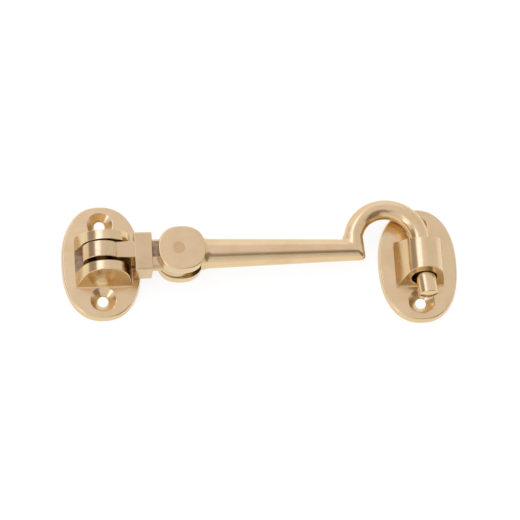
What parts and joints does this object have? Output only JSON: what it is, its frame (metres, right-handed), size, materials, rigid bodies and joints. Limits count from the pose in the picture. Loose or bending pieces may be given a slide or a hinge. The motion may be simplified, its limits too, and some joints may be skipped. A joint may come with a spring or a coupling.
{
  "type": "hook and eye latch",
  "caption": "Polished brass cabin hook: an oval base plate with ears, a two-way swivel link, a forked hook with a tapered arm and round crook, and an oval plate with an arched eye.",
  "frame": {"origin": "centre of the base plate, midway between its screws, on its back face", "axes": "+X along the arm from the base plate to the eye plate, +Y along the plates, away from the side the tip points to, +Z away from the wall"},
  "size_m": [0.127, 0.0417, 0.0141],
  "materials": {
    "polished_brass": "polished, unlacquered cast brass",
    "pin_brass": "drawn brass rod, filed flush"
  },
  "bodies": {
    "base": {"base_plate": "polished_brass", "hinge_pin": "pin_brass"},
    "link": {"swivel_link": "polished_brass"},
    "hook": {"hook": "polished_brass", "fork_rivet": "pin_brass"},
    "eye": {"eye_plate": "polished_brass"}
  },
  "joints": [
    {"name": "link_swing", "type": "hinge", "parent": "base", "child": "link", "pos_m": [0, 0, 0.0074], "axis": [0, -1, 0], "range_deg": [0, 180]},
    {"name": "hook_lift", "type": "hinge", "parent": "link", "child": "hook", "pos_m": [0.0238, 0, 0.0074], "axis": [0, 0, 1], "range_deg": [-100, 100]},
    {"name": "eye_unhook", "type": "slide", "parent": "hook", "child": "eye", "axis": [0, -1, 0], "range_m": [0, 0.022]}
  ]
}
